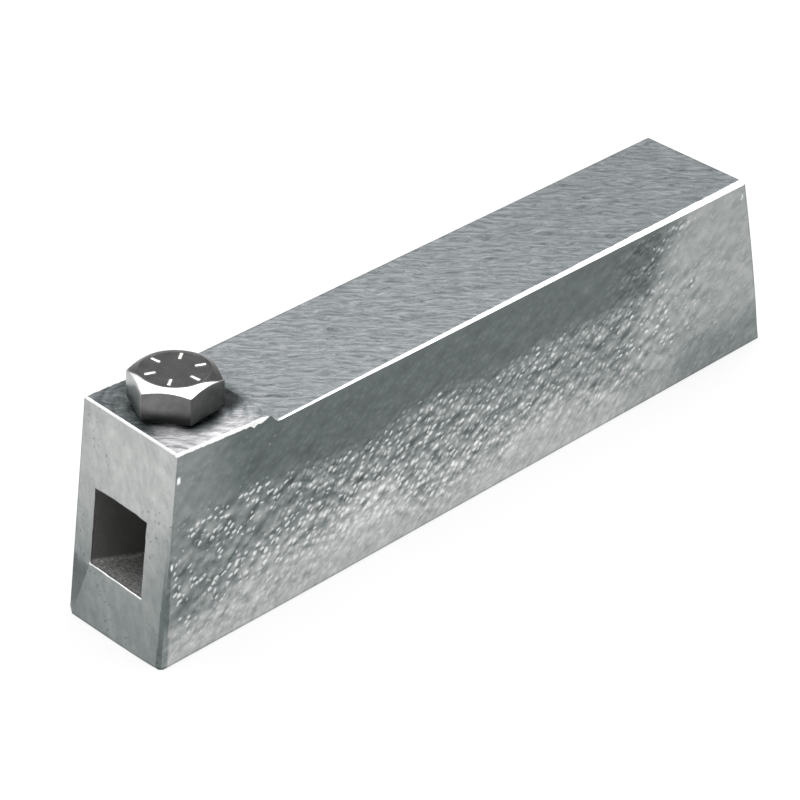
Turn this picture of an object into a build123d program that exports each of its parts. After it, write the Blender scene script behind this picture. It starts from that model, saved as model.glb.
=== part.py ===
"""Straight turning tool holder: a plated steel block with an inclined square
socket for a small tool bit, and one hexagon-head screw that clamps the bit.

Frame: +Z up, X along the block with the cutting end at -X, Y across it.
The origin is on the underside, under the middle of the whole length and width.
All sizes are in millimetres.
"""

import os
from math import cos, radians, sin, tan

from build123d import *

# ---------------------------------------------------------------- the block
block_length = 100.0        # along the underside, from front edge to rear edge
shank_width = 16.4
shank_height = 24.9
sole_face_width = 16.1      # the head narrows to this at the front, on the underside ...
brow_narrowing = 0.3        # ... and by this much more at the top of the front face
front_lean = radians(8.6)   # the front face leans back from its bottom edge
rear_lean = radians(11.7)   # the rear face leans forward from its bottom edge
grinding_stock = 0.02       # the shank's sides are ground flat: metal taken off each

# the raised pad that the screw head stands on
pad_length = 16.9           # from the front bottom edge to the end of the pad
pad_step_run = 0.8          # length of the small slope from the pad to the shank
pad_rise = 1.05             # height of the pad over the shank where the pad ends
pad_slope = radians(3.2)    # the pad climbs towards the front

# the chin: under the socket the front face stands proud towards the +Y side
chin_out = 0.62             # how proud it stands at the underside
chin_under_sill = 0.5       # it begins this far under the socket's sill
chin_foot_margin = 1.2      # from its lowest, most proud point to the +Y side
chin_root = 0.05            # its border lies this deep in the block

# edges left by the mould and by the tumbling before plating
upright_radius = 0.3        # upright edges
near_foot_radius = 0.9      # the front one on the -Y side, where it meets the underside
sole_radius = 0.3           # edges of the underside
near_bevel_flat = 1.0       # bevel of the shank's top edge on the -Y side, at the rear:
near_bevel_drop = 0.3       # across the top, and down the side
far_bevel_flat = 0.3        # the same on the +Y side
far_bevel_drop = 0.15
bevel_start = 0.25          # the bevels where the shank begins, as a part of those at the rear
pad_edge = 0.2              # edges of the pad

# ---------------------------------------------------------------- the socket
bit_size = 7.94             # square tool bit that the socket takes
socket_side_room = 0.94     # width of the socket over the bit
socket_top_room = 1.36      # height of the socket over the bit
socket_angle = radians(20)  # the socket runs down towards the rear
sill_height = 7.15          # socket floor at the front face
socket_offset = 0.65        # the socket lies this much to the +Y side
mouth_bevel = 0.15          # bevel round the socket's mouth

# ---------------------------------------------------------------- the screw
screw_diameter = 6.35       # outside of the thread
thread_room = 0.05          # radial running clearance of the thread
screw_length = 15.9         # under the head
screw_setback = 10.3        # from the front bottom edge to the screw, on the pad
head_flats = 9.4            # across the flats of the hexagon
head_height = 4.25
head_turn = 8.6             # degrees that the hexagon is turned from the block's length
head_bevel = radians(30)    # slope of the turned bevel on top of the head
head_disc = 0.84            # flat disc on top of the head, as a part of head_flats
seat_gap = 0.4              # air between the head and the pad: the screw isn't fully home
tip_bevel = 0.7             # bevel on the screw's tip
hole_mouth = 0.5            # bevel round the tapped hole

# ---------------------------------------------------------------- worked out
facing = cos(radians(0.25)) # a face whose normal is this near to a direction faces it
brow_face_width = sole_face_width - brow_narrowing
front_x = (chin_out - block_length) / 2
rear_x = front_x + block_length
socket_width = bit_size + socket_side_room
socket_height = bit_size + socket_top_room
raw_width = shank_width + 2 * grinding_stock
pad_end_x = front_x + pad_length
step_foot_x = pad_end_x + pad_step_run
pad_end_z = shank_height + pad_rise
# where the climbing pad meets the leaning front face
brow_z = (pad_end_z + pad_length * tan(pad_slope)) / (1 + tan(front_lean) * tan(pad_slope))
brow_x = front_x + brow_z * tan(front_lean)
tail_brow_x = rear_x - brow_z * tan(rear_lean)
corner_radius = head_flats / 2 / cos(radians(30))
blank_radius = 1.1 * corner_radius      # round bar that the head's bevel is turned on
disc_radius = head_disc * head_flats / 2
screw_x = front_x + screw_setback
seat_z = pad_end_z + (pad_end_x - screw_x) * tan(pad_slope)

# square to the pad, pointing up out of the block; its x runs down the pad to the rear
pad_plane = Plane(
    origin=(screw_x, 0, seat_z),
    x_dir=(cos(pad_slope), 0, -sin(pad_slope)),
    z_dir=(sin(pad_slope), 0, cos(pad_slope)),
)
# square to the socket's run, at the sill; its x runs across the block, its y up
sill_x = front_x + sill_height * tan(front_lean)
socket_middle_z = (        # under the screw
    sill_height
    + socket_height / 2 / cos(socket_angle)
    - (screw_x - sill_x) * tan(socket_angle)
)
socket_run = Vector(cos(socket_angle), 0, -sin(socket_angle))
socket_up = Vector(sin(socket_angle), 0, cos(socket_angle))
socket_plane = Plane(
    origin=Vector(sill_x, socket_offset, sill_height) + socket_up * (socket_height / 2),
    x_dir=(0, 1, 0),
    z_dir=socket_run,
)


def plan_outline(z, lead_x, lead_width, tail_x, near_corner):
    """The block seen from above at one height: straight sides, then the head narrows."""
    with BuildSketch(Plane.XY.offset(z)) as outline:
        with BuildLine():
            side = Polyline(
                (tail_x, raw_width / 2),
                (step_foot_x, raw_width / 2),
                (lead_x, lead_width / 2),
            )
            mirror(side, about=Plane.XZ)
            Line(side @ 0, (tail_x, -raw_width / 2))
            Line(side @ 1, (lead_x, -lead_width / 2))
        make_face()
        near, *others = (
            outline.vertices().group_by(Axis.X)[0].sort_by(Axis.Y)
            + outline.vertices().group_by(Axis.X)[-1]
        )
        fillet(near, near_corner)
        fillet(others, upright_radius)
    return outline.sketch


def holder_block():
    """The outer form: a raw block with leaning ends and softening corners, cut to the
    side profile and ground to its width."""
    with BuildPart() as block:
        add(plan_outline(0, front_x, sole_face_width, rear_x, near_foot_radius))
        add(plan_outline(brow_z, brow_x, brow_face_width, tail_brow_x, upright_radius))
        loft(ruled=True)
        with BuildSketch(Plane.XZ):
            with BuildLine():
                Polyline(
                    (front_x, 0),
                    (rear_x, 0),
                    (rear_x, shank_height),
                    (step_foot_x, shank_height),
                    (pad_end_x, pad_end_z),
                    (brow_x, brow_z),
                    (front_x, brow_z),
                    close=True,
                )
            make_face()
        extrude(amount=shank_width / 2, both=True, mode=Mode.INTERSECT)
    return block.part


def shank_bevel(flat, drop, side):
    """The wedge that leaves the bevel of one long top edge: it widens to the rear."""
    with BuildPart() as wedge:
        for x, share in ((step_foot_x, bevel_start), (rear_x, 1)):
            with BuildSketch(Plane.YZ.offset(x)):
                with BuildLine():
                    over, under = share * flat, share * drop
                    Polyline(
                        (side * (shank_width / 2 - 2 * over), shank_height + under),
                        (side * (shank_width / 2 + over), shank_height - 2 * under),
                        (side * (shank_width / 2 + over), shank_height + under),
                        close=True,
                    )
                make_face()
        loft()
    return wedge.part


def chin():
    """What stands proud of the front face under the socket: it grows from the -Y side
    to a crease, which runs from the mouth's corner down to the underside, and beyond
    the crease it falls back to the +Y side."""
    top_z = sill_height - chin_under_sill
    top_x = front_x + top_z * tan(front_lean) + chin_root
    near_y = near_foot_radius - sole_face_width / 2
    crease_y = sole_face_width / 2 - chin_foot_margin
    far_y = sole_face_width / 2 - upright_radius
    sections = [
        Wire.make_polygon([
            (front_x - out, foot_y, 0),
            (top_x, top_y, top_z),
            (front_x + chin_out, foot_y, 0),
        ])
        for foot_y, top_y, out in (
            (near_y, near_y, -chin_root),
            (crease_y, socket_offset + socket_width / 2, chin_out),
            (far_y, far_y, -chin_root),
        )
    ]
    return Solid.make_loft(sections, ruled=True)


with BuildPart() as holder_body:
    add(holder_block())
    sole = holder_body.faces().filter_by(lambda f: f.normal_at().Z < -facing)[0]
    fillet(sole.edges(), sole_radius)
    add(chin())

    # the pad's edges, but not where its slope begins
    pad_top = holder_body.faces().filter_by(
        lambda f: f.normal_at().dot(pad_plane.z_dir) > facing
    )[0]
    pad_edges = pad_top.edges().sort_by(Axis.X)[:-1]
    chamfer(pad_edges, pad_edge)
    add(shank_bevel(near_bevel_flat, near_bevel_drop, -1), mode=Mode.SUBTRACT)
    add(shank_bevel(far_bevel_flat, far_bevel_drop, 1), mode=Mode.SUBTRACT)

    # the socket, right through the head and out of the underside
    with BuildSketch(socket_plane.offset(-socket_height)):
        Rectangle(socket_width, socket_height)
    extrude(amount=block_length, mode=Mode.SUBTRACT)

    mouth = holder_body.faces().filter_by(
        lambda f: f.normal_at().X < -cos(front_lean) * facing
    )
    chamfer(mouth[0].inner_wires()[0].edges(), mouth_bevel)

    # the screw's tapped hole, from the pad down to the socket
    with Locations(pad_plane):
        CounterSinkHole(
            radius=screw_diameter / 2 + thread_room,
            counter_sink_radius=screw_diameter / 2 + thread_room + hole_mouth,
            depth=seat_z - socket_middle_z,
            counter_sink_angle=90,
        )

with BuildPart() as clamp_screw:
    head_plane = pad_plane.offset(seat_gap)
    with BuildSketch(head_plane):
        RegularPolygon(head_flats / 2, 6, major_radius=False, rotation=head_turn)
    extrude(amount=head_height)
    # the head is turned on top: a cone trims the hexagon's corners
    with BuildSketch(Plane(head_plane.origin, x_dir=head_plane.x_dir, z_dir=Plane.XZ.z_dir)):
        with BuildLine():
            Polyline(
                (0, 0),
                (blank_radius, 0),
                (blank_radius, head_height - (blank_radius - disc_radius) * tan(head_bevel)),
                (disc_radius, head_height),
                (0, head_height),
                close=True,
            )
        make_face()
    revolve(axis=Axis(head_plane.origin, head_plane.z_dir), mode=Mode.INTERSECT)
    with BuildSketch(head_plane):
        Circle(screw_diameter / 2)
    extrude(amount=-screw_length)
    tip = clamp_screw.edges().filter_by(GeomType.CIRCLE).sort_by(Axis.Z)[0]
    chamfer(tip, tip_bevel)

holder_body.part.label = "holder_body"
clamp_screw.part.label = "clamp_screw"
os.makedirs("parts", exist_ok=True)
export_step(holder_body.part, "parts/holder_body.step")
export_step(clamp_screw.part, "parts/clamp_screw.step")
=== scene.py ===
# %% [markdown]
# # A turning tool holder
#
# The real thing is a plated steel block, 100 mm long, for a small lathe. An inclined
# square socket in its leaning front face takes a tool bit, and a hexagon-head screw on
# top clamps the bit. The sides keep the dimpled skin of the casting.
#
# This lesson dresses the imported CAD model. The model comes in as a fixed frame, and
# each surface is worked out with numpy in the same place, in millimetres, and handed
# to Blender in metres.

# %% The frame
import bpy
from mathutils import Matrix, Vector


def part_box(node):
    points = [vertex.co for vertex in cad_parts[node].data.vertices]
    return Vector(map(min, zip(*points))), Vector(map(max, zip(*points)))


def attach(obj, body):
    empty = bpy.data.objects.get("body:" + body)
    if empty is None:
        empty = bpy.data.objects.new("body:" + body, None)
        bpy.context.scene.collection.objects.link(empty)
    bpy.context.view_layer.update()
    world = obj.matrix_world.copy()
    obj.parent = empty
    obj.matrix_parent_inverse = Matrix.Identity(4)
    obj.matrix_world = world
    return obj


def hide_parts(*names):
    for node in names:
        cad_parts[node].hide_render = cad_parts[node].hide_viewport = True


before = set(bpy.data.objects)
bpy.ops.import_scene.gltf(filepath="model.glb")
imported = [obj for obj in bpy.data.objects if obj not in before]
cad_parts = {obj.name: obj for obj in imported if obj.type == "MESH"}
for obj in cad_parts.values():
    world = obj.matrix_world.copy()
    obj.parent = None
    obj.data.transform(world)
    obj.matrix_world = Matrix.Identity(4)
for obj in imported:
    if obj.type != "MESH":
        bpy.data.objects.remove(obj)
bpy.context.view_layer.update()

from math import cos, pi, radians, sin, tan

import bpy
import numpy as np
from mathutils import Vector

MM = 0.001

# %% [markdown]
# ## The camera
#
# A catalogue picture of a small tool is taken from above one corner, with a long lens
# from some way off, so that the block's edges stay nearly parallel. It could be moved by
# hand until it looks right. Here one distance and two angles place it, backwards along
# its line of sight from the point that it looks at.

# %% The camera
picture_pixels = 800
lens_pixels = 2826.0
sensor_width = 36.0
camera_turn, camera_rise = radians(-43.51), radians(33.32)
camera_distance = 335.3
aim = np.array([-4.061, 2.011, 10.095])

back = np.array([
    sin(camera_turn) * cos(camera_rise),
    -cos(camera_turn) * cos(camera_rise),
    sin(camera_rise),
])
camera_lens = bpy.data.cameras.new("catalogue_camera")
camera_lens.sensor_width = sensor_width
camera_lens.lens = lens_pixels / picture_pixels * sensor_width
camera_lens.clip_start, camera_lens.clip_end = 0.01, 10.0
camera = bpy.data.objects.new("catalogue_camera", camera_lens)
camera.location = Vector((aim + camera_distance * back) * MM)
camera.rotation_euler = Vector(-back).to_track_quat("-Z", "Y").to_euler()
bpy.context.scene.collection.objects.link(camera)
bpy.context.scene.camera = camera
bpy.context.scene.view_settings.view_transform = "Standard"
print("lens", round(camera_lens.lens, 1), "mm")


# %% [markdown]
# ## Two helpers for meshes
#
# A closed block is six grids that share their borders. It could be a subdivided cube,
# but rows of stations put the points where the shape turns: close together at the edges
# and wide apart on the flats. Each point has one number, so borders merge by themselves.

# %% Meshes from arrays
def closed_block(rows):
    """The skin of a box: six grids, each spanned by two of the three rows of stations.
    A point's number counts along the rows, so that sides share the points they meet in."""
    counts = [len(row) for row in rows]
    faces = []
    for axis in range(3):
        a, b = (axis + 1) % 3, (axis + 2) % 3
        for end in (0, counts[axis] - 1):
            place = np.zeros((counts[a], counts[b], 3), int)
            place[..., axis] = end
            place[..., a] = np.arange(counts[a])[:, None]
            place[..., b] = np.arange(counts[b])[None, :]
            number = (place[..., 0] * counts[1] + place[..., 1]) * counts[2] + place[..., 2]
            faces.append(four_sided(number)[:, :: 1 if end else -1])
    numbers, faces = np.unique(np.concatenate(faces), return_inverse=True)
    first, rest = np.divmod(numbers, counts[1] * counts[2])
    second, third = np.divmod(rest, counts[2])
    points = np.stack([rows[0][first], rows[1][second], rows[2][third]], axis=1)
    return points, faces.reshape(-1, 4).tolist()


def four_sided(number):
    """The four-sided faces of a grid of point numbers, one for each cell."""
    corners = number[:-1, :-1], number[1:, :-1], number[1:, 1:], number[:-1, 1:]
    return np.stack(corners, axis=-1).reshape(-1, 4)


def make_piece(name, points, faces, smooth=True):
    """A mesh object with its place in its mesh; points are in millimetres."""
    mesh = bpy.data.meshes.new(name)
    mesh.from_pydata((points * MM).tolist(), [], faces)
    mesh.polygons.foreach_set("use_smooth", np.full(len(mesh.polygons), smooth))
    mesh.validate()
    mesh.update()
    piece = bpy.data.objects.new(name, mesh)
    bpy.context.scene.collection.objects.link(piece)
    print(name, len(mesh.vertices), "points", len(mesh.polygons), "faces")
    return piece


def note(piece, name, values):
    """Writes one number a point onto the mesh, for its material to read."""
    layers = piece.data.attributes
    layer = layers.get(name) or layers.new(name, "FLOAT", "POINT")
    layer.data.foreach_set("value", values.astype(np.float32))


def read_points(mesh, what="co"):
    """A mesh's points, or their normals, as rows of three numbers."""
    values = np.zeros(len(mesh.vertices) * 3, np.float32)
    mesh.vertices.foreach_get(what, values)
    return values.reshape(-1, 3).astype(float)


# %% [markdown]
# ## Noise worked out with numpy
#
# Cast and tumbled metal is never even. Two kinds of noise are enough: a smooth one, and
# one that scatters round spots of random sizes. Both start from a fixed seed, so the
# model comes out the same each time.

# %% Noise
table_size = 64  # random values a side, after which the noise repeats


def ease(t):
    """0 below 0, 1 above 1, and a smooth step between."""
    t = np.clip(t, 0, 1)
    return t * t * (3 - 2 * t)


def between(values, low, high):
    """The smooth step from 0 at low to 1 at high."""
    return ease((values - low) / (high - low))


def smooth_noise(points, cell, seed):
    """-1 to 1: random values at the corners of cells, blended with the smooth step."""
    axes = points.shape[1]
    table = np.random.default_rng(seed).uniform(-1, 1, (table_size,) * axes)
    place = points / cell
    low = np.floor(place).astype(int)
    share = ease(place - low)
    total = np.zeros(len(points))
    for corner in np.ndindex(*(2,) * axes):
        weight = np.prod(np.where(corner, share, 1 - share), axis=1)
        total += weight * table[tuple(((low + corner) % table_size).T)]
    return total


def spots(points, cell, seed):
    """Round spots on a plane, 0 to 1: a smooth hump round one random point in each cell,
    each with its own reach. Where humps overlap, the highest one counts."""
    rng = np.random.default_rng(seed)
    centre = rng.uniform(0.15, 0.85, (table_size, table_size, 2))
    reach = rng.uniform(0.25, 0.62, (table_size, table_size))
    place = points / cell
    low = np.floor(place).astype(int)
    height = np.zeros(len(points))
    for i in (-1, 0, 1):
        for j in (-1, 0, 1):
            near = low + (i, j)
            key = tuple((near % table_size).T)
            away = np.hypot(*(place - near - centre[key]).T)
            hump = ease(1 - away / reach[key]) * reach[key] / reach.max()
            height = np.maximum(height, hump)
    return height


# %% [markdown]
# ## The block's form
#
# The block is a long box that leans in at both ends, narrows a little at the head and
# rises to a pad under the screw. It could be modelled by pushing a cube's corners
# about. Here every upright line of the skin runs straight from the sole's outline to
# the top's, so the form is two profiles and a rule between them, and any edge can get
# the softness that it has on the real block.

# %% The block's sizes
block_length, shank_width, shank_height = 100.0, 16.4, 24.9
sole_face_width, brow_face_width = 16.1, 15.8
front_lean, rear_lean = radians(8.6), radians(11.7)
pad_length, pad_step_run, pad_rise, pad_slope = 16.9, 0.8, 1.05, radians(3.2)
chin_out, screw_setback = 0.62, 10.3

# the origin is under the middle of the whole length, the chin included
front_x = (chin_out - block_length) / 2
rear_x = front_x + block_length
pad_end_x = front_x + pad_length
step_foot_x = pad_end_x + pad_step_run
pad_end_z = shank_height + pad_rise
brow_z = (pad_end_z + pad_length * tan(pad_slope)) / (1 + tan(front_lean) * tan(pad_slope))
brow_x = front_x + brow_z * tan(front_lean)
screw_x = front_x + screw_setback
tail_x = rear_x - shank_height * tan(rear_lean)
half_width = shank_width / 2
print("brow", round(brow_x, 2), round(brow_z, 2), "tail", round(tail_x, 2))


# %% The box's stations
def fine_row(low, high, step, fine, reach, extra=()):
    """Stations from low to high: a fine step within reach of both ends, and wide inside."""
    inner = np.linspace(low + reach, high - reach, round((high - low - 2 * reach) / step) + 1)
    edge = np.linspace(0, reach, round(reach / fine) + 1)
    return np.unique(np.concatenate([low + edge, inner, high - edge, extra]).round(4))


wide_step, fine_step, fine_reach = 0.35, 0.1, 0.8
# the pad's step needs its own stations, and so does the crease under the socket
step_stations = np.arange(pad_end_x - 0.5, step_foot_x + 0.5, fine_step)
crease_rows = (6.2, 6.32)
rows = [
    fine_row(front_x, rear_x, wide_step, fine_step, fine_reach, step_stations),
    fine_row(-half_width, half_width, 0.8, 0.12, 1.2, crease_rows),
    fine_row(0, shank_height, wide_step, fine_step, fine_reach),
]
box, block_faces = closed_block(rows)
box_x, box_y, box_z = box.T
print("stations", [len(row) for row in rows], "faces", len(block_faces))

# %% [markdown]
# ## Softening the edges
#
# The tumbling before plating rounds the upright edges, more towards the sole. The
# long top edge on the near side was broken with a file, so its bevel grows towards
# the rear. The pad's edges have a band of bevel too. The near top edge's band and the
# brow's band are painted as bright highlights. Each edge is softened in the plain
# box, where the faces are still square to each other, before it is bent to its form.
# A little noise in the reach keeps the bands from looking drawn.

# %% Softening one edge
def soften(a, b, flat_a, flat_b, roundness):
    """Softens one edge of a box, seen along the edge. a and b are the distances from the
    two faces that meet there, and flat_a and flat_b how far the softening reaches.
    Squares round the inner corner of that strip become curves: the higher the
    roundness, from 1 for a straight bevel to 2 for a round, the fuller the curve."""
    over_a, over_b = 1 - a / flat_a, 1 - b / flat_b
    inside = (over_a > 0) & (over_b > 0)
    over_a, over_b = np.where(inside, over_a, 0), np.where(inside, over_b, 0)
    full = (over_a**roundness + over_b**roundness) ** (1 / roundness)
    share = np.maximum(over_a, over_b) / np.where(inside, full, 1)
    new_a = np.where(inside, flat_a * (1 - over_a * share), a)
    new_b = np.where(inside, flat_b * (1 - over_b * share), b)
    return new_a, new_b, np.where(inside, np.minimum(over_a, over_b), 0)


# %% How far each edge is softened
near_foot, upright_edge, sole_edge = 0.9, 0.25, 0.16
near_bevel, far_bevel, bevel_start = (1.0, 0.3), (0.3, 0.15), 0.2
pad_band, brow_band, rear_band = (0.34, 0.28), (0.34, 0.23), (0.15, 0.15)

upright = near_foot + (upright_edge - near_foot) * box_z / shank_height
on_pad = 1 - between(box_x, pad_end_x - 1.6, pad_end_x - 0.1)
on_shank = between(box_x, step_foot_x, step_foot_x + 0.6)
along = np.clip((box_x - step_foot_x) / (rear_x - step_foot_x), 0, 1)
grow = on_shank * (bevel_start + (1 - bevel_start) * along)
length = box[:, :1]
torn = 1 + 0.3 * smooth_noise(length, 0.5, 7)
ragged = 1 + 0.05 * smooth_noise(length, 0.9, 3) + 0.07 * smooth_noise(length, 5.0, 4)

# the edges are chipped down their sides near the end of the pad
chip_x, chip_length, chip_depth = pad_end_x - 2.9, 1.3, 0.5
chip = chip_depth * np.exp(-(((box_x - chip_x) / chip_length) ** 2))
chip *= 0.5 + 0.5 * smooth_noise(length, 0.45, 6)


def long_edge(bevel):
    """A long top edge's reaches, across the top and down the side: the pad's band tapers
    out at the step, and the shank's own begins there."""
    least = 0.03
    across, down = (
        ragged * (least + torn * on_pad * band + grow * own)
        for band, own in zip(pad_band, bevel)
    )
    return across, down + chip


# %% Softening the edges
uneven = 1 + 0.08 * smooth_noise(box[:, 1:2], 0.8, 5)
rounded, filed, worn = 2, 1.25, 1.3
gap = {
    "front": box_x - front_x, "rear": rear_x - box_x,
    "near": box_y + half_width, "far": half_width - box_y,
    "sole": box_z, "top": shank_height - box_z,
}
edges = [
    ("front", "near", upright, upright, rounded),
    ("front", "far", upright_edge, upright_edge, rounded),
    ("rear", "near", upright_edge, upright_edge, rounded),
    ("rear", "far", upright_edge, upright_edge, rounded),
    ("near", "top", *long_edge(near_bevel), filed),
    ("far", "top", *long_edge(far_bevel), filed),
    ("front", "top", brow_band[0] * uneven, brow_band[1] * uneven, worn),
    ("rear", "top", *rear_band, rounded),
    *[(side, "sole", sole_edge, sole_edge, rounded) for side in ("near", "far", "front", "rear")],
]
soft = {}
for a, b, *shape in edges:
    gap[a], gap[b], soft[a, b] = soften(gap[a], gap[b], *shape)

near_upright, near_top, brow = soft["front", "near"], soft["near", "top"], soft["front", "top"]
# painted highlight on the near top edge's and the brow's bands; the other soft edges get painted
# shade
painted_edge_band = np.maximum(near_top * np.maximum(on_pad, on_shank), brow)
painted_highlight_edges = ("front", "near"), ("near", "top"), ("front", "top")
painted_edge_shade = np.max([soft[edge] for edge in soft if edge not in painted_highlight_edges], axis=0)

soft_x = np.where(box_x < 0, front_x + gap["front"], rear_x - gap["rear"])
soft_y = np.where(box_y < 0, gap["near"] - half_width, half_width - gap["far"])
soft_z = np.where(box_z < shank_height / 2, gap["sole"], shank_height - gap["top"])


# %% The form
def face_width(rise):
    """The width of the front face at a share of its height."""
    return sole_face_width + (brow_face_width - sole_face_width) * rise


def ruled_form(x, y, z):
    """Bends the plain box to the block. x is read on the sole's outline and on the top's
    outline, z is the share of the way between them, and y narrows towards the front."""
    marks = [front_x, pad_end_x, step_foot_x, rear_x]
    top_x = np.interp(x, marks, [brow_x, pad_end_x, step_foot_x, tail_x])
    top_z = np.interp(x, marks, [brow_z, pad_end_z, shank_height, shank_height])
    rise = z / shank_height
    ahead = np.clip((step_foot_x - x) / (step_foot_x - front_x), 0, 1)
    narrow = 1 + (face_width(rise) / shank_width - 1) * ahead
    return np.stack([x + (top_x - x) * rise, y * narrow, top_z * rise], axis=1)


points = ruled_form(soft_x, soft_y, soft_z)
print("form", points.min(0).round(2), points.max(0).round(2))

# %% [markdown]
# ## The chin and the bulge
#
# Under the socket's mouth the front face stands proud, more towards the far side. A
# crease runs from the mouth's corner down to the sole, and beyond it the face falls
# back to the far side. A crease looks crisp only where the mesh has a line of points
# along it, so the points near it are first slid sideways until one row lies on it. The
# rear face bulges by a fifth of a millimetre.

# %% Sliding a row of points onto the crease
sill_height, socket_offset, socket_width = 7.15, 0.65, 8.88
chin_under_sill, chin_foot_margin = 0.5, 1.2
chin_top = sill_height - chin_under_sill
near_end = near_foot - sole_face_width / 2
crease_foot = sole_face_width / 2 - chin_foot_margin
far_end = sole_face_width / 2 - upright_edge

height = points[:, 2]
share_up = np.clip(height / chin_top, 0, 1.2)
crease = crease_foot + (socket_offset + socket_width / 2 - crease_foot) * share_up
at_front = 1 - between(box_x, front_x + 0.8, front_x + 4)
row_now = crease_rows[0] * face_width(height / brow_z) / shank_width
slide_start, slide_end = 2.5, half_width - upright_edge
tent = np.interp(box_y, [slide_start, crease_rows[0], slide_end], [0, 1, 0])
fade_up = 1 - between(height, chin_top + 0.5, chin_top + 5)
points[:, 1] += (crease - row_now) * tent * at_front * fade_up

# %% The chin and the bulge
chin_bow, chin_inside = 0.6, 0.98  # a little less proud than the solid's chin
to_crease = np.clip((points[:, 1] - near_end) / (crease - near_end), 0, 1)
past_crease = np.clip((far_end - points[:, 1]) / (far_end - crease), 0, 1)
proud = chin_out * np.where(points[:, 1] < crease, to_crease**chin_bow, past_crease)
points[:, 0] -= chin_inside * proud * np.clip(1 - height / chin_top, 0, 1) * at_front
beyond_crease = (box_y > crease_rows[0] + 0.05) * (1 - between(height, 6.2, 8.0))

rear_bulge, rear_foot = 0.22, 0.07
at_rear = between(box_x, rear_x - 3, rear_x)
rise = height / shank_height
points[:, 0] += rear_bulge * at_rear * 4 * rise * (1 - rise) * between(rise, 0.0, 0.25)
points[:, 0] = np.minimum(points[:, 0], rear_x - rear_foot)
print("chin", points[:, 0].min().round(3), "bulge", rear_bulge)

# %% [markdown]
# ## The cast skin
#
# The mould's sand left the sides lumpy: humps two or three millimetres across, drawn
# out along one diagonal, that look melted, with a smoother strip above. A displacement
# texture could do this, but as geometry the lumps are in the mesh itself. They
# only ever go inwards from the true face.

# %% The lumps
lump_cell, small_share, lump_stretch = 2.3, 0.55, 1.5
diagonal, far_side_shift = radians(45), 300
x, z = points[:, 0], points[:, 2]
side = between(np.abs(box_y), half_width - 0.02, half_width)


def lumps(x, z):
    """The height of the lumps, 0 to about 1: big and small humps along the diagonal. The
    far side reads the pattern elsewhere, so that the two sides differ."""
    along = (x * cos(diagonal) + z * sin(diagonal)) / lump_stretch
    over = z * cos(diagonal) - x * sin(diagonal) + far_side_shift * (box_y > 0)
    turned = np.stack([along, over], axis=1)
    big = spots(turned, lump_cell, 11)
    small = spots(turned, small_share * lump_cell, 12)
    return np.maximum(big, small_share * small) + 0.2 * smooth_noise(turned, 0.9, 13)


lump, probe = lumps(x, z), 0.3
# above 0 where a lump faces up, to the light
lit_slope = lumps(x, z - probe) - lumps(x, z + probe)
print("lumps from", lump.min().round(2), "to", lump.max().round(2))

# %% [markdown]
# The lumps fill a band along the lower two thirds of each side. It starts behind the
# front edge, thins out towards the rear and climbs higher in one patch there. A slow
# noise pushes its borders about.

# %% Where the skin is lumpy
wander = 2.2 * smooth_noise(points[:, ::2], 9.0, 21)
band = between(z + wander, 1.5, 8.0) * (1 - between(z + 0.5 * wander, 15.0, 18.5))
band *= between(x + wander, -49.0, -45.0) * (1 - 0.5 * between(x, 24.0, 34.0))
band *= 1 - 0.85 * between(x + wander, 35.0, 44.0)
tail_way = x + 1.6 * wander - 0.35 * (z - 18)
at_tail = between(tail_way, 19.0, 25.5) * (1 - between(tail_way, 28.0, 35.0))
band = np.maximum(band, 0.75 * at_tail * between(z, 10.0, 14.0))
from_middle = np.abs(soft_z - shank_height / 2)
inset = 1 - between(from_middle, shank_height / 2 - 1.2, shank_height / 2 - 0.4)
least_relief, lump_height = 0.22, 0.13
relief = side * inset * (least_relief + (1 - least_relief) * band)
depth = relief * lump_height * np.clip(1.1 - lump, 0, 1.3)

# %% The skin's mesh
skin = make_piece("holder_skin", points, block_faces)
normals = read_points(skin.data, "normal")
points = points - normals * depth[:, None]
skin_x, skin_y, skin_z = points.T
skin.data.vertices.foreach_set("co", (points * MM).astype(np.float32).ravel())
skin.data.update()
print("lumps up to", depth.max().round(3), "mm deep")

# %% [markdown]
# ## How light each part of the plating is
#
# The plating's lightness differs from face to face, and this is painted light and
# shade, set for how the lamp falls on each face. Its lightness is a sum of smooth
# steps along the block, noted on the points. A painted picture could hold the same,
# but numbers on the points need no unwrapping and follow the shape.

# %% The front and the sides
def front_tone(points):
    """The front face's lightness, painted light and shade: light under the brow, darker
    towards the sole, towards the far side and in a strip at the near side of the socket."""
    y, z = points[:, 1], points[:, 2]
    rising = 0.27 + 0.22 * between(z, 2.0, 22.0)
    beside_socket = between(-y, 3.5, 6.0) * between(z, 6.0, 9.0) * (1 - between(z, 15.0, 20.0))
    return rising - 0.05 * between(y, 2.0, 7.0) - 0.05 * beside_socket


def side_tone(x, z):
    """The sides' lightness, painted light and shade: a dark strip under the top edge, a
    light one along the sole and at the rear, and the lumpy band between them."""
    tone = 0.46 - 0.19 * between(z + wander, 3.0, 10.0)
    tone = tone + (0.148 - tone) * between(z + 0.5 * wander, 14.5, 18.0)
    tone = tone + (0.36 - tone) * between(x + wander - 0.35 * (z - 12), 25.0, 31.0)
    tone = tone * (1 - 0.33 * between(x, 30.0, 38.0) * (1 - between(z, 3.0, 9.0)))
    at_head = (1 - between(x + 0.5 * wander, -44.0, -36.0)) * between(z + wander, 4.0, 8.0)
    tone = tone + (0.255 - tone) * at_head
    # painted sheen: the middle of the lower half is the lightest
    return tone * (1 + 0.45 * np.exp(-(((x + 12) / 16) ** 2) - ((z - 8) / 4) ** 2))


# %% The pad
to_corner = (-0.688, -0.725)  # from the screw to the block's near front corner


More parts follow.
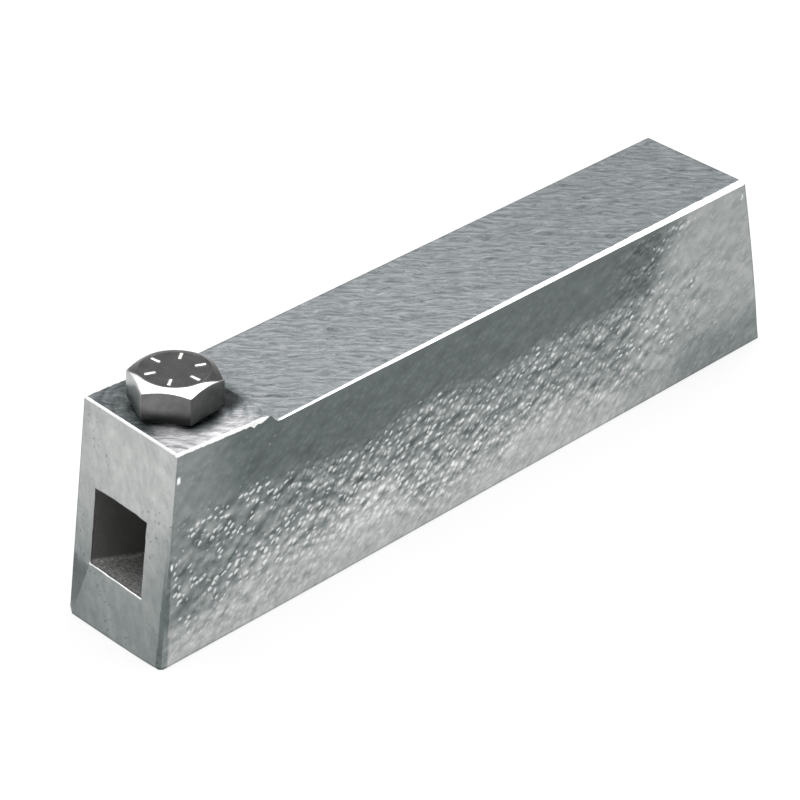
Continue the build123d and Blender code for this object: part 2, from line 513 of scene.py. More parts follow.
def pad_tone(x, y):
    """What the pad's lightness is multiplied by, darker beside the screw's head with its
    painted shadow and reflection, and how far a painted pool of light reaches in front
    of the head, where the pad is also made matt."""
    away = np.stack([x - screw_x, y], axis=1)
    reach = np.hypot(*away.T)
    to_right = (-to_corner[1], to_corner[0])
    front, right = np.array([to_corner, to_right]) @ away.T / reach.clip(1)
    limit = 8.3 - 2.5 * between(front, -0.35, 0.4)
    # painted shadow and reflection of the screw's head, to its right and to its left
    dark = 0.92 * ease(2 * right) * (1 - between(reach, limit - 1.5, limit + 0.8))
    dark += 0.66 * ease(-1.6 * right) * (1 - between(reach, 6.0, 12.5))
    matt_painted_light = ease(1.5 * front - 0.1 + 0.3 * np.abs(right)) * (1 - between(reach, 8.5, 12.0))
    return 1 - dark, matt_painted_light * (1 - dark)


# %% The whole block
hair = 1e-6
on_top = (box_z > shank_height - hair).astype(float)
on_front = (box_x < front_x + hair).astype(float)
rest_tone, crease_shade = 0.33, 0.42
# painted light and shade: the faces' lightness, set for how the lamp falls on them
tone = side * side_tone(skin_x, skin_z) + (1 - side) * rest_tone
# painted light and shade on the lumps: lighter where they face up, darker where they face down
tone *= 1 + 1.1 * relief * lit_slope
# painted shade on the front face beyond the crease under the socket
tone = np.where(on_front > 0, front_tone(points) * (1 - crease_shade * beyond_crease), tone)
tone = np.where(on_top > 0, 0.25 - 0.05 * between(skin_x, -30, 45), tone)
painted_head_shade, matt_painted_light = pad_tone(skin_x, skin_y)
tone *= 1 + on_top * (painted_head_shade - 1)

# painted shade: a thin dark line along the borders and the soft edges, and a dark band at the foot
# of the near upright edge
far_border = 1 - between(half_width - box_y, 0.1, 0.35)
painted_border_shade = np.max([
    1 - between(skin_z, 0.1, 0.4),
    1 - between(rear_x - box_x, 0.1, 0.45),
    on_top * far_border,
    on_front * far_border,
], axis=0)
tone *= 1 - 0.35 * painted_border_shade
foot = 1 - between(skin_z, 6.0, 20.0)
tone *= 1 - 0.4 * painted_edge_shade.clip(0, 0.5) * 2 - 0.42 * foot * (near_upright > 0)
print("lightness", tone.min().round(3), "to", tone.max().round(3))

# %% [markdown]
# Three bright specks on the near side are painted highlights: two on the front upright
# edge, and one by the top rear corner. The fourth power gives each a flat middle and a
# quick border, like a facet.

# %% Painted highlight specks
def speck(*spans):
    """A bright speck, 0 to 1, from pairs of a distance to its middle and its half size."""
    return np.exp(-sum((away / half) ** 4 for away, half in spans))


from_edge = skin_x - front_x - skin_z * tan(front_lean)
painted_specks = speck((skin_z - 12.8, 0.45), (from_edge - 0.5, 0.17))
painted_specks += speck((skin_z - 23.4, 0.55), (from_edge - 0.5, 0.26))
painted_specks += speck((skin_x - rear_x + 5.6, 0.22), (skin_z - 23.0, 0.45))

# %% What the points tell the material
pad_fade = 1 - between(skin_x, pad_end_x - 2.5, pad_end_x)
blurred_x = x + wander
# the painted dimple light and glints are weaker towards the rear
weaker_toward_rear = 1 - 0.3 * between(blurred_x, -6.0, 16.0)
from_head = 0.75 + 0.25 * between(blurred_x, -46.0, -34.0)
sparse = np.maximum(1 - between(blurred_x, -38.0, -27.0), between(blurred_x, 22.0, 30.0))
notes = {
    "tone": tone,
    "top": on_top,
    "front": on_front,
    "outside": np.ones(len(points)),
    "painted_edge_band": painted_edge_band,
    "painted_speck": painted_specks * (box_y < 0),
    "matt_painted_light": on_top * matt_painted_light * pad_fade,
    "pad": on_top * (1 - between(skin_x, pad_end_x - 0.5, pad_end_x + 2.0)),
    "rough_band": relief * weaker_toward_rear * from_head,
    # painted highlights on the lumps' upward slopes
    "lump_glint": side * band * between(lit_slope, 0.2, 0.75),
    "tail": side * at_tail * between(z, 12.0, 17.0),
    "sparse": sparse * between(z, 2.0, 6.0),
    "low": side * (1 - between(z + wander, 3.5, 8.5)),
}
for name, values in notes.items():
    note(skin, name, values)

# %% [markdown]
# ## Cutting the socket and the screw's hole
#
# The socket is broached through the head at twenty degrees, down to the rear, and out
# of the sole. A solid of its shape is taken away from the skin with a Boolean. Its
# cross-section keeps the front face's lean, so that the mouth's bevel is even all
# round, and its outline wavers a little, because a broach chips the edge of a casting.

# %% The socket's cutter
socket_height, socket_angle, mouth_bevel, roof_arch = 9.30, radians(20), 0.16, 0.18
sill = np.array([front_x + sill_height * tan(front_lean), socket_offset, sill_height])


def socket_ring(count):
    """The socket's outline on the front face, as shares -1 to 1 of its half sizes: the
    points of its lower side, turned by one more quarter for each of the four sides."""
    share = 2 * np.arange(count) / count - 1
    side = np.stack([share, -np.ones(count)], axis=1)
    quarter = np.array([[0, 1], [-1, 0]])
    return np.concatenate([side @ np.linalg.matrix_power(quarter, k) for k in range(4)])


ring = socket_ring(34)
aside, upward = ring.T
run = np.array([cos(socket_angle), 0, -sin(socket_angle)])
up_face = np.array([sin(front_lean), 0, cos(front_lean)])
# the socket's height measured along the leaning face instead of square to its run
mouth_height = socket_height / cos(socket_angle - front_lean)
# the cutter starts in the air, where it flares, and ends beyond the sole
in_air = 4.0
mouth = [-in_air, 0.0, mouth_bevel]
stations = np.concatenate([mouth, np.arange(0.5, 12, 0.5), np.arange(12, 60, 2)])[:, None]
flare = np.interp(stations, mouth, [in_air, mouth_bevel, 0])
roof = roof_arch * (1 - aside**2) * (upward > 0.99)
over_sill = (upward + 1) * mouth_height / 2 + upward * flare + roof
cut = sill + stations[..., None] * run + over_sill[..., None] * up_face
cut[..., 1] += aside * (socket_width / 2 + flare)
places = cut.reshape(-1, 3)
waver = 0.05 * smooth_noise(places, 0.9, 41) + 0.03 * smooth_noise(places, 0.35, 42)
outwards = np.stack([0.15 * upward, aside, upward], axis=1)
cut += waver.reshape(flare.size, -1, 1) * outwards


def tube_faces(rings, around):
    """The faces of a closed tube: a grid that meets itself, and one face at each end."""
    number = np.arange(rings * around).reshape(rings, around)
    wall = four_sided(np.concatenate([number, number[:, :1]], axis=1))[:, ::-1]
    return [*wall.tolist(), number[0][::-1].tolist(), number[-1].tolist()]


cutter = make_piece("socket_cutter", cut.reshape(-1, 3), tube_faces(*cut.shape[:2]))

# %% [markdown]
# The screw's hole is a round profile turned about the screw's axis, with a
# countersink. The axis stands square to the sloping pad, so the profile is worked out
# upright and then laid along three directions: across, along the pad and up the axis.

# %% The hole's cutter
screw_radius, thread_room, hole_mouth = 3.175, 0.05, 0.5
seat_z = pad_end_z + (pad_end_x - screw_x) * tan(pad_slope)
under_screw = sill_height - (screw_x - sill[0]) * tan(socket_angle)
socket_middle_z = under_screw + socket_height / 2 / cos(socket_angle)
seat = np.array([screw_x, 0, seat_z])
pad_axes = np.array([
    [cos(pad_slope), 0, -sin(pad_slope)],
    [0, 1, 0],
    [sin(pad_slope), 0, cos(pad_slope)],
])


def turned_about_screw(radii, heights, angles):
    """A surface about the screw's axis: for each angle, radius and height over the pad."""
    flat = np.stack(
        np.broadcast_arrays(radii * np.cos(angles), radii * np.sin(angles), heights), axis=-1
    )
    return seat + flat @ pad_axes


hole_radius, over_pad = screw_radius + thread_room, 2
profile = np.array([
    (hole_radius, socket_middle_z - seat_z),
    (hole_radius, -hole_mouth),
    (hole_radius + hole_mouth, 0),
    (hole_radius + hole_mouth + over_pad, over_pad),
])
around = np.linspace(0, 2 * pi, 96, endpoint=False)
bore = turned_about_screw(profile[:, :1], profile[:, 1:], around)
hole_cutter = make_piece("hole_cutter", bore.reshape(-1, 3), tube_faces(*bore.shape[:2]))

# %% [markdown]
# A Boolean fails quietly on a mesh that is open or inside out. Its volume, the sum of
# the pyramids from the origin to each triangle, shows both.

# %% The volume inside a mesh
def volume_inside(piece):
    """The volume inside a closed mesh, in cubic millimetres; below 0 it is inside out."""
    mesh = piece.data
    mesh.calc_loop_triangles()
    corners = np.zeros(len(mesh.loop_triangles) * 3, np.int32)
    mesh.loop_triangles.foreach_get("vertices", corners)
    a, b, c = read_points(mesh)[corners.reshape(-1, 3).T] / MM
    return float(np.einsum("ij,ij->i", a, np.cross(b, c)).sum() / 6)


for solid in (skin, cutter, hole_cutter):
    print(solid.name, "volume", round(volume_inside(solid), 1))


# %% Taking the cutters away
def take_away(piece, tools):
    """Cuts the tools out of a piece, keeps the result as its mesh and removes the tools."""
    for tool in tools:
        cut_with = piece.modifiers.new(tool.name, "BOOLEAN")
        cut_with.operation, cut_with.solver, cut_with.object = "DIFFERENCE", "MANIFOLD", tool
    graph = bpy.context.evaluated_depsgraph_get()
    piece.data = bpy.data.meshes.new_from_object(piece.evaluated_get(graph))
    piece.modifiers.clear()
    for tool in tools:
        bpy.data.objects.remove(tool)


take_away(skin, [cutter, hole_cutter])
skin.data.set_sharp_from_angle(angle=radians(32))
print("cut", len(skin.data.polygons), "faces, volume", round(volume_inside(skin), 1))

# %% [markdown]
# ## After the cut
#
# The points that the cuts made have no notes, so "outside", which is 1 on the old skin,
# tells them apart. The mouth's bevel takes the front face's lightness, its lower lip gets
# a painted highlight, and the socket's floor is lighter and more speckled than its walls.

# %% Notes for the new points
def read_note(piece, name):
    """One number a point, as note() wrote it; points that a cut has made read 0."""
    values = np.zeros(len(piece.data.vertices), np.float32)
    piece.data.attributes[name].data.foreach_get("value", values)
    return values.astype(float)


cut_points = read_points(skin.data) / MM
was_outside = read_note(skin, "outside")
under_front = (cut_points[:, 0] - front_x) * cos(front_lean) - cut_points[:, 2] * sin(front_lean)
under_pad = (seat - cut_points) @ pad_axes[2]
under_skin = np.min([under_front, under_pad, cut_points[:, 2]], axis=0)
at_mouth = (1 - was_outside) * (1 - between(under_skin, 0.12, 0.3))
# painted highlight along the mouth's lower lip
painted_lip_highlight = (1 - was_outside) * between(under_skin, 0.0, 0.03) * (1 - between(under_skin, 0.08, 0.2))
painted_lip_highlight *= 1 - between(cut_points[:, 2], sill_height + 0.05, sill_height + 0.3)
note(skin, "outside", np.maximum(was_outside, at_mouth))
note(skin, "tone", np.where(was_outside > 0.5, read_note(skin, "tone"), front_tone(cut_points)))
note(skin, "painted_edge_band", np.maximum(read_note(skin, "painted_edge_band"), painted_lip_highlight))
over_floor = (cut_points - sill) @ np.array([sin(socket_angle), 0, cos(socket_angle)])
note(skin, "floor", (1 - was_outside) * (1 - between(np.abs(over_floor), 0.2, 0.6)))
print("points made by the cuts", int((was_outside < 0.5).sum()))

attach(skin, "holder")
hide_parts("holder_body")

# %% [markdown]
# ## The clamp screw
#
# The screw is a forging: a hexagon whose corners were turned off by a thirty-degree
# cone, over a round shank with a rolled thread. A cylinder with six sides, cut and
# bevelled, would do for the head alone. One surface about the axis does for all of it,
# because at each angle the outline from the middle of the top down to the tip is a
# single line. Only its radius and its height change with the angle.

# %% The screw's outline
head_flats, head_height, head_turn, head_bevel = 9.4, 4.25, radians(8.6), radians(30)
disc_radius = 0.84 * head_flats / 2
seat_gap, screw_length, tip_bevel, thread_pitch = 0.4, 15.9, 0.7, 1.27
thread_depth = 0.6134 * thread_pitch

even_share = np.linspace(0, 1, 33)[:-1]
# more angles near the corners than in the middle of the flats
side_share = even_share - 0.4 * np.sin(2 * pi * even_share) / (2 * pi)
angles = head_turn + (np.arange(6)[:, None] + side_share).ravel() * pi / 3
across = (angles - head_turn) % (pi / 3) - pi / 6
sharp_radius = head_flats / 2 / np.cos(across)
# the smaller of the two radii, with a soft change from one to the other
corner_limit, sharpness = 5.52, 60.0
hexagon = (sharp_radius**-sharpness + corner_limit**-sharpness) ** (-1 / sharpness)
head_top = seat_gap + head_height


def cone(radius):
    """The height of the turned cone over a radius: level with the disc at its edge."""
    return head_top - (radius - disc_radius) * tan(head_bevel)


def ring_rows(*pairs):
    """Rings as rows of radius and height, each worked out for all the angles."""
    return [np.stack(np.broadcast_arrays(r, h, angles)[:2]) for r, h in pairs]


rim, rim_round = cone(hexagon), 0.1
flat_top, flat_foot = rim - 0.12, seat_gap + 0.3
disc_rings = [(r, head_top) for r in np.arange(0.15, disc_radius - 0.05, 0.1)]
disc_rings += [(disc_radius - 0.04, head_top), (disc_radius + 0.03, cone(disc_radius + 0.03))]
cone_width = hexagon - rim_round - disc_radius
cone_radii = [disc_radius + cone_width * k for k in np.linspace(0, 1, 10)[1:]]
cone_rings = [(r, cone(r)) for r in cone_radii] + [(hexagon - 0.03, rim - 0.03)]
flat_rings = [(hexagon, flat_top * (1 - k) + flat_foot * k) for k in np.linspace(0, 1, 12)]
under_rings = [
    (hexagon - 0.06, seat_gap + 0.14),
    (hexagon - 0.25, seat_gap + 0.02),
    (hexagon * 0.45 + screw_radius * 0.55, seat_gap),
    (screw_radius + 0.03, seat_gap),
]
head_rings = ring_rows(*disc_rings, *cone_rings, *flat_rings, *under_rings)

# %% [markdown]
# The thread is in the same surface: a wave of the radius along the axis, which the
# angle shifts by one pitch a turn. It fades out under the head and at the tip.

# %% The thread
def thread_radius(heights, angles):
    """The radius of a rolled thread: a wave that climbs one pitch a turn, cut flat at the
    crest over an eighth of the pitch and at the root over a quarter of it."""
    wave = np.abs(2 * ((heights / thread_pitch - angles / (2 * pi)) % 1) - 1)
    fade = between(seat_gap - heights, 0.3, 1.6) * between(heights + screw_length, 0.5, 1.6)
    return screw_radius - thread_depth * fade * np.clip((wave - 1 / 8) / (5 / 8), 0, 1)


tip_height = seat_gap - screw_length
shank_heights = np.linspace(seat_gap - 0.08, tip_height + tip_bevel, 196)
tip_rings = [
    (screw_radius - tip_bevel * k, tip_height + tip_bevel * (1 - k)) for k in (0.3, 0.65, 1.0)
]
shank_rings = ring_rows(
    *[(thread_radius(h, angles), h) for h in shank_heights], *tip_rings, (0.5, tip_height)
)
outline = np.stack(head_rings + shank_rings)[::-1]
radii, heights = outline[:, 0], outline[:, 1]
print("rings in all", len(outline), "turns of thread", round(screw_length / thread_pitch, 1))

# %% [markdown]
# Six raised strokes, evenly spaced, say that the screw is of a high-strength grade. They
# were pressed up by the forging die, so they have sloping sides, and they are the only
# mark on it.

# %% The strokes on the head
stroke_count, stroke_height, stroke_half_width = 6, 0.13, 0.19
stroke_in, stroke_out, disc_sunk = 2.2, 3.5, 0.1
on_disc = (heights > head_top - 0.005).astype(float)
stroke_turn = (angles - head_turn) % (2 * pi / stroke_count) - pi / stroke_count
aside = np.abs(np.sin(stroke_turn)) * radii
stroke = 1 - between(aside, stroke_half_width * 0.45, stroke_half_width * 1.5)
stroke *= between(radii, stroke_in - 0.1, stroke_in + 0.12)
stroke *= (1 - between(radii, stroke_out - 0.12, stroke_out + 0.1)) * on_disc
dish = disc_sunk * on_disc * between(disc_radius - radii, 0, 0.25)
screw_points = turned_about_screw(radii, heights + stroke_height * stroke - dish, angles)
screw_points = screw_points.reshape(-1, 3)

# the top of the head is rubbed down by a hundredth or two of a millimetre
rubbed = 0.012 * smooth_noise(screw_points, 0.8, 51) + 0.008 * smooth_noise(screw_points, 0.3, 52)
rubbed = np.abs(rubbed) * (heights > rim - 0.02).ravel()
screw_points = screw_points - rubbed[:, None] * pad_axes[2]
screw = make_piece("clamp_screw_skin", screw_points, tube_faces(*radii.shape))
screw.data.set_sharp_from_angle(angle=radians(38))
print("screw volume", round(volume_inside(screw), 1), "cad box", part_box("clamp_screw"))

# %% [markdown]
# The screw's plating is dark. Each flat of the hexagon has its own painted light and
# shade and painted shade at its foot, the disc and the cone are painted dark for a
# dark reflection, and the turned cone gets a painted highlight towards the near corner.

# %% How light the screw is
facet = ((angles - head_turn) // (pi / 3)).astype(int) % 6
painted_facet_tones = np.array([0.12, 0.1, 0.42, 0.16, 0.085, 0.14])[facet]
painted_facet_feet = np.array([0.16, 0.16, 0.4, 0.16, 0.85, 0.16])[facet]
disc_painted_dark, shank_tone, cone_painted_dark, painted_cone_glare = 0.068, 0.2, 0.07, 0.83
up_flat = between(heights, seat_gap + 0.7, seat_gap + 2.0)
screw_tone = painted_facet_tones * (painted_facet_feet + (1 - painted_facet_feet) * up_flat)
screw_tone = np.where(on_disc > 0, disc_painted_dark, screw_tone)
# painted highlight: the cone is bright in front of a line round the disc and the two side corners
near_turn, side_turn = radians(-141.4), pi / 2 - np.arccos(disc_radius / corner_limit)
turned = (angles - near_turn + pi) % (2 * pi) - pi
ahead = radii * np.cos(turned - turned.clip(-side_turn, side_turn)) - disc_radius
painted_rim_highlight = 0.5 * (1 - between(hexagon - radii, 0.06, 0.16))
painted_cone_highlight = np.maximum(between(ahead, 0.02, 0.14), painted_rim_highlight)
on_cone = (heights < head_top - 0.005) & (heights > rim - 0.01)
screw_tone = np.where(on_cone, cone_painted_dark + painted_cone_glare * painted_cone_highlight, screw_tone)
screw_tone = np.where(heights < seat_gap - 0.1, shank_tone, screw_tone)

note(screw, "stroke", stroke.ravel())
note(screw, "tone", screw_tone.ravel())
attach(screw, "screw")
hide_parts("clamp_screw")


# %% [markdown]
# ## Shader sums written as Python
#
# A material's numbers come from small Math nodes. Wiring them one by one hides the
# sum that they stand for, so a class lets a socket be added, taken away and multiplied
# like any number, and one method makes every other node.

# %% The finish class
class Field:
    """A shader socket that works in Python's sums: each sign adds its Math node."""

    def __init__(self, socket):
        self.socket = socket

    def maths(self, operation, *values):
        tree = self.socket.id_data
        return Finish.add(tree, "Math", dict(enumerate(values)), operation=operation)

    def __add__(self, other):
        return self.maths("ADD", self, other)

    def __sub__(self, other):
        return self.maths("SUBTRACT", self, other)

    def __rsub__(self, other):
        return self.maths("SUBTRACT", other, self)

    def __mul__(self, other):
        return self.maths("MULTIPLY", self, other)

    __radd__, __rmul__ = __add__, __mul__


class Finish:
    """A material whose nodes come from one method."""

    def __init__(self, name):
        self.material = bpy.data.materials.new(name)
        self.material.use_nodes = True
        self.tree = self.material.node_tree
        self.shader = self.tree.nodes["Principled BSDF"]
        self.output = self.tree.nodes["Material Output"]

    @staticmethod
    def add(tree, kind, values=None, output=0, **settings):
        """Adds a node: its settings first, then the values or links of its sockets."""
        made = tree.nodes.new("ShaderNode" + kind)
        for name, setting in settings.items():
            setattr(made, name, setting)
        for name, value in (values or {}).items():
            Finish.put(tree, made.inputs[name], value)
        return Field(made.outputs[output])

    @staticmethod
    def put(tree, socket, value):
        """Gives a socket a value, or links it to another socket."""
        if isinstance(value, Field):
            tree.links.new(value.socket, socket)
        else:
            socket.default_value = value

    def node(self, kind, values=None, output=0, **settings):
        return Finish.add(self.tree, kind, values, output, **settings)

    def vector(self, operation, *values, output=0):
        """A sum of places or directions."""
        return self.node("VectorMath", dict(enumerate(values)), output, operation=operation)

    def set(self, **sockets):
        """Sets or links the shader's own sockets; an underscore stands for a space."""
        for name, value in sockets.items():
            Finish.put(self.tree, self.shader.inputs[name.replace("_", " ")], value)

    def dress(self, piece):
        """Makes this the only material of a piece."""
        piece.data.materials.clear()
        piece.data.materials.append(self.material)

    def millimetres(self, turn=(0, 0, 0), stretch=(1, 1, 1)):
        """Object coordinates in millimetres, turned and then squeezed by stretch."""
        place = self.node("TexCoord", output="Object")
        scaled = self.node("Mapping", {
            "Vector": place, "Rotation": turn, "Scale": (1 / MM,) * 3,
        }, vector_type="POINT")
        return self.vector("MULTIPLY", scaled, stretch)

    def shift(self, place, by):
        """The same pattern, read a little further on."""
        return self.vector("ADD", place, by)

    def bend(self, place, cell, reach):
        """Coordinates pushed about by noise, so that a pattern's shapes aren't round."""
        settings = {"Vector": place, "Scale": 1 / cell, "Detail": 1.0}
        push = self.node("TexNoise", settings, "Color")
        about_zero = self.vector("SUBTRACT", push, (0.5, 0.5, 0.5))
        return self.vector("MULTIPLY_ADD", about_zero, (reach, reach, 0), place)

    def round_axis(self, place, centre, front, stretch=1.6):
        """Coordinates round an upright axis: the distance from it, and the angle from its
        front, stretched so that a pattern runs along the rings."""
        away = self.vector("SUBTRACT", place, centre)
        ahead = self.vector("DOT_PRODUCT", away, (*front, 0), output="Value")
        aside = self.vector("DOT_PRODUCT", away, (-front[1], front[0], 0), output="Value")
        square = ahead * ahead + aside * aside
        reach = square.maths("SQRT", square)
        angle = aside.maths("ARCTAN2", aside, ahead)
        return self.node("CombineXYZ", {0: reach, 1: angle * stretch})

    def cells(self, place, cell, output="Distance"):
        """The distance from scattered points, one in each cell, whose edges melt together;
        or, as the output Color, a random value for each cell."""
        values = {"Vector": place, "Scale": 1 / cell, "Smoothness": 0.15}
        flat_melting = {"voronoi_dimensions": "2D", "feature": "SMOOTH_F1"}
        return self.node("TexVoronoi", values, output, **flat_melting)

    def noise(self, place, cell, detail=3.0, rough=0.55):
        """Soft noise, 0 to 1, with lumps of the given size in millimetres."""
        values = {"Vector": place, "Scale": 1 / cell, "Detail": detail, "Roughness": rough}
        return self.node("TexNoise", values, "Fac")

    def step(self, value, low, high, to_low=0.0, to_high=1.0):
        """A smooth step of a value between two limits."""
        return self.node("MapRange", {
            "Value": value, "From Min": low, "From Max": high, "To Min": to_low, "To Max": to_high,
        }, interpolation_type="SMOOTHSTEP")

    def noted(self, name):
        """A number that was noted on the mesh's points."""
        return self.node("Attribute", {}, "Fac", attribute_name=name)

    def mix(self, share, first, second, blend="MIX"):
        """A mix of two colours."""
        first, second = [(*c, 1) if isinstance(c, tuple) else c for c in (first, second)]
        values = {0: share, 6: first, 7: second}
        return self.node("Mix", values, 2, data_type="RGBA", blend_type=blend)

    def rgb(self, *parts):
        """A colour from its red, green and blue."""
        return self.node("CombineColor", dict(enumerate(parts)))

    def bump(self, height, depth):
        """A normal from a height of 0 to 1, whose full depth is in millimetres."""
        return self.node("Bump", {"Height": height, "Distance": depth * MM})


# %% [markdown]
# ## The block's plating
#
# Zinc or nickel plating over a casting is grey rather than bright: the plating copies
# the roughness under it. So the metal's lightness, painted light and shade that was
# noted on the points face by face, goes straight to its colour, and the edges and the
# tops of the humps get near-white painted highlights. Scratches, pits and the tool's
# arcs round the screw are in the shader, since they are finer than the mesh.

# %% The block's fine marks
plating = Finish("body_plating")
place = plating.millimetres()
fine = plating.noise(place, 0.25, 3.0, 0.6)
cloud = plating.noise(place, 2.2, 4.0, 0.6)

# the top's fine ripples, left by the grinding
top_place = plating.millimetres(turn=(0, 0, radians(43.5)), stretch=(0.5, 1.3, 1.0))
top_place = plating.bend(top_place, 2.0, 2.2)
ripples = plating.noise(top_place, 0.95, 4.0, 0.6)
# painted light and shade on the ripples: the pattern less itself read a little further on
ripples_lit = ripples - plating.noise(plating.shift(top_place, (0, 0.3, 0)), 0.95, 4.0, 0.6)

# the tool marks round the screw, on the pad
round_screw = plating.round_axis(place, (screw_x, 0, 0), to_corner)
swirl = plating.noise(plating.bend(round_screw, 1.5, 0.9), 0.8, 4.0, 0.65)

# the front's slanting marks and its pits
front_place = plating.millimetres(turn=(radians(24), 0, 0), stretch=(1.0, 1.1, 0.4))
marks = plating.noise(plating.bend(front_place, 3.0, 1.0), 0.8, 5.0, 0.65)
front_flat = plating.millimetres(turn=(0, pi / 2, 0))
pit_cells = plating.cells(plating.bend(front_flat, 0.5, 0.5), 1.1)
patches = plating.step(plating.noise(plating.shift(place, (3, 1, 2)), 5.0, 3.0), 0.5, 0.6)
pits = (1 - plating.step(pit_cells, 0.06, 0.15)) * patches

# %% [markdown]
# Between the lumps the sides have small dimples, drawn out along the diagonal. The
# pattern less the same pattern read a little further up gives painted light on their
# upper sides and painted shade on their lower sides.

# %% The sides' dimples
along_diagonal = (-pi / 2, 0, -pi / 4)
side_place = plating.millimetres(turn=along_diagonal, stretch=(0.78, 1.0, 0.2))
bent = plating.bend(side_place, 0.9, 0.5)
dimple_size, upwards = 0.8, (0.12, 0.2, 0)


def dimples(where):
    """The height of the small humps: round cells, and noise between them."""
    humps = 1 - plating.step(plating.cells(where, dimple_size), 0.05, 0.55)
    return humps * 0.6 + plating.noise(where, 0.45, 3.0, 0.6) * 0.5


dimple = dimples(bent)
dimple_lit = dimple - dimples(plating.shift(bent, upwards))
luck = plating.cells(bent, dimple_size, "Color")
chains = plating.step(plating.noise(side_place, 1.8, 2.0), 0.46, 0.55)
streak_place = plating.millimetres(turn=along_diagonal, stretch=(0.5, 1.3, 0.2))
streaks = plating.noise(plating.bend(streak_place, 1.5, 1.2), 0.8, 5.0, 0.65)

# %% The block's lightness
tone, on_top, on_front, on_pad, matt_painted_light, sparse, low, tail = (
    plating.noted(name)
    for name in ("tone", "top", "front", "pad", "matt_painted_light", "sparse", "low", "tail")
)
on_side = plating.noted("rough_band") * (1 - (0.3 + sparse * 0.55) * (1 - chains))
# painted light and shade on the dimples, with the streaks' own marks
painted_dimple_light_and_streaks = dimple_lit * (0.8 + tail) + (dimple - 0.5) * 0.9 + (streaks - 0.5) * 0.5
shading = (0.72 + cloud * 0.56) * (0.87 + fine * 0.26)
shading = shading * (1 + ripples_lit * on_top * 2.0 + (ripples - 0.5) * on_top * 0.8)
shading = shading * (1 + (swirl - 0.5) * on_pad * (2.6 - matt_painted_light * 1.3))
shading = shading * (1 + on_side * painted_dimple_light_and_streaks + low * (streaks - 0.5) * 1.1)
shading = shading * (1 + (marks - 0.5) * on_front * 0.6) * (1 - pits * on_front * 0.42)
# painted light in front of the screw's head
lightness = tone * shading * (1 + matt_painted_light * 1.35)

# %% The block's colour
# darker plating looks a little greener
redness = plating.step(lightness, 0.05, 0.5, 0.84, 0.98) + on_top * 0.03
tinted = plating.rgb(lightness * redness, lightness, lightness * (0.985 + on_top * 0.045))
# painted glints on the lit tops of the dimples and lumps
lit_tops = dimple_lit * on_side * (1 - 0.6 * tail + 0.8 * sparse) * (0.15 + luck * 1.6)
lit_lumps = plating.noted("lump_glint") * (fine + 0.1) * 0.35
glint = plating.step(lit_tops + lit_lumps, 0.17, 0.4)
with_painted_glints = plating.mix(glint * 0.68, tinted, (0.84, 0.87, 0.86))
# painted highlights: the edge bands, the socket's lip and the specks turn near white
painted_edge_glare = plating.step(plating.noted("painted_edge_band") + (fine - 0.5) * 0.12, 0.06, 0.2)
painted_glare = plating.step(painted_edge_glare + plating.noted("painted_speck"), 0.3, 0.9)
edged = plating.mix(painted_glare, with_painted_glints, (0.93, 0.94, 0.93))

# the socket's walls, and its lighter, speckled floor
walls = plating.mix(fine, (0.19, 0.19, 0.187), (0.37, 0.37, 0.365))
floor_speckle_share = plating.step(plating.noise(place, 0.35, 4.0, 0.7), 0.35, 0.65)
floor_speckle = plating.mix(floor_speckle_share, (0.45, 0.45, 0.445), (0.95, 0.95, 0.94))
inside = plating.mix(plating.noted("floor"), walls, floor_speckle)

# %% The block's shader
outside = plating.noted("outside")
rough = 0.38 + (fine - 0.5) * 0.15 - painted_glare * 0.1 + (1 - outside) * 0.2 + matt_painted_light * 0.3
bumps = fine * 0.3 + ripples * on_top * 1.2 + dimple * on_side * 2.0 + marks * on_front * 0.8
plating.set(
    Base_Color=plating.mix(outside, inside, edged), Metallic=1 - matt_painted_light * 0.65,
    Roughness=rough, Normal=plating.bump(bumps, depth=0.05),
)
plating.dress(skin)
print("body_plating", len(plating.tree.nodes), "nodes")

# %% [markdown]
# ## The screw's plating
#
# A smudged dark grey, a few drawn-out scratches, and strokes that are rubbed bright.

# %% The screw's material
dark = Finish("screw_plating")
place = dark.millimetres()
fine = dark.noise(place, 0.3, 3.0, 0.6)
smudge = dark.noise(place, 1.2, 3.0, 0.6)
screw_lightness = dark.noted("tone") * (0.6 + smudge * 0.8)
plain = dark.mix(1.0, dark.rgb(*[screw_lightness] * 3), (0.985, 1.0, 0.985), "MULTIPLY")
scratch_place = dark.millimetres(turn=(0, radians(20), 0), stretch=(2.2, 2.2, 0.5))
scratch = dark.step(dark.noise(scratch_place, 0.5, 2.0), 0.66, 0.74) * 0.35
scratched = dark.mix(scratch * dark.step(smudge, 0.5, 0.6), plain, (0.5, 0.51, 0.5))
stroke_share = dark.step(dark.noted("stroke") + (fine - 0.5) * 0.5, 0.35, 0.7)
stroked = dark.mix(stroke_share, scratched, (0.85, 0.85, 0.83))
dark.set(
    Base_Color=stroked, Metallic=1.0, Roughness=0.24 + fine * 0.12,
    Normal=dark.bump(fine, depth=0.02),
)
dark.dress(screw)
print("screw_plating", len(dark.tree.nodes), "nodes")

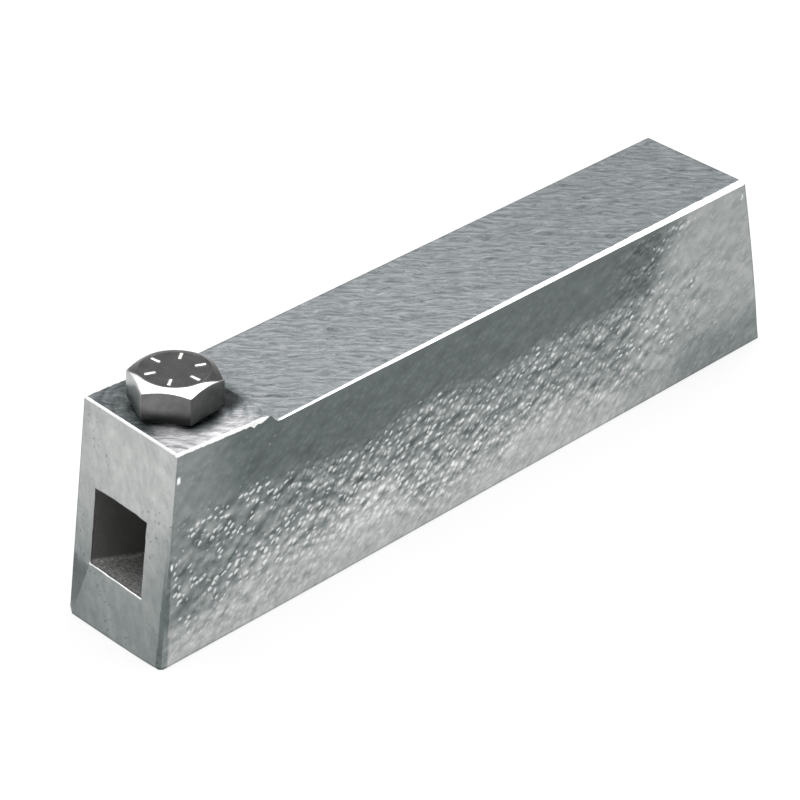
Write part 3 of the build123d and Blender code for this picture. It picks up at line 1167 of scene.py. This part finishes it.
# %% [markdown]
# ## The table and the light
#
# A small bright tool is shown on white paper under one big soft lamp, with the white
# room filling the shadows. The paper and the room are white to the camera and in
# reflections, and give the object only a plain level of light.

# %% The room's light
def seen_rays(tree):
    """1 for rays from the camera, from mirrors and through glass, 0 for those that only
    light the object."""
    rays = tree.nodes.new("ShaderNodeLightPath").outputs
    camera, glossy = Field(rays["Is Camera Ray"]), Field(rays["Is Glossy Ray"])
    return camera + glossy + Field(rays["Is Transmission Ray"])


world = bpy.data.worlds.new("white_room")
bpy.context.scene.world = world
world.use_nodes = True
room = world.node_tree
background = room.nodes["Background"].inputs
room_fill = 0.35
Finish.put(room, background["Color"], (1, 1, 1, 1))
Finish.put(room, background["Strength"], room_fill + (1 - room_fill) * seen_rays(room))

lamp_size, lamp_height, lamp_power = 1.3, 0.8, 9.0
lamp = bpy.data.lights.new("soft_box", "AREA")
lamp.shape, lamp.size, lamp.energy = "SQUARE", lamp_size, lamp_power
soft_box = bpy.data.objects.new("soft_box", lamp)
soft_box.location = (0.15, 0.0, lamp_height)
bpy.context.scene.collection.objects.link(soft_box)

# %% The table
floor_size, floor_drop = 1.2, 0.02
corners = np.array([[-1, -1, 0], [1, -1, 0], [1, 1, 0], [-1, 1, 0]])
floor_points = corners * floor_size / 2 / MM - [0, 0, floor_drop]
floor = make_piece("floor", floor_points, [[0, 1, 2, 3]], smooth=False)

# %% The paper
paper = Finish("white_paper")
paper.set(Base_Color=(0.8, 0.8, 0.8, 1), Roughness=0.9)
glow = paper.node("Emission", {"Color": (1, 1, 1, 1), "Strength": 0.7})
dim = paper.node("BsdfDiffuse", {"Color": (0.35, 0.35, 0.35, 1)})
lit = paper.node("AddShader", {0: glow, 1: dim})
plain_paper = Field(paper.shader.outputs[0])
both = paper.node("MixShader", {0: seen_rays(paper.tree), 1: plain_paper, 2: lit})
Finish.put(paper.tree, paper.output.inputs["Surface"], both)
paper.dress(floor)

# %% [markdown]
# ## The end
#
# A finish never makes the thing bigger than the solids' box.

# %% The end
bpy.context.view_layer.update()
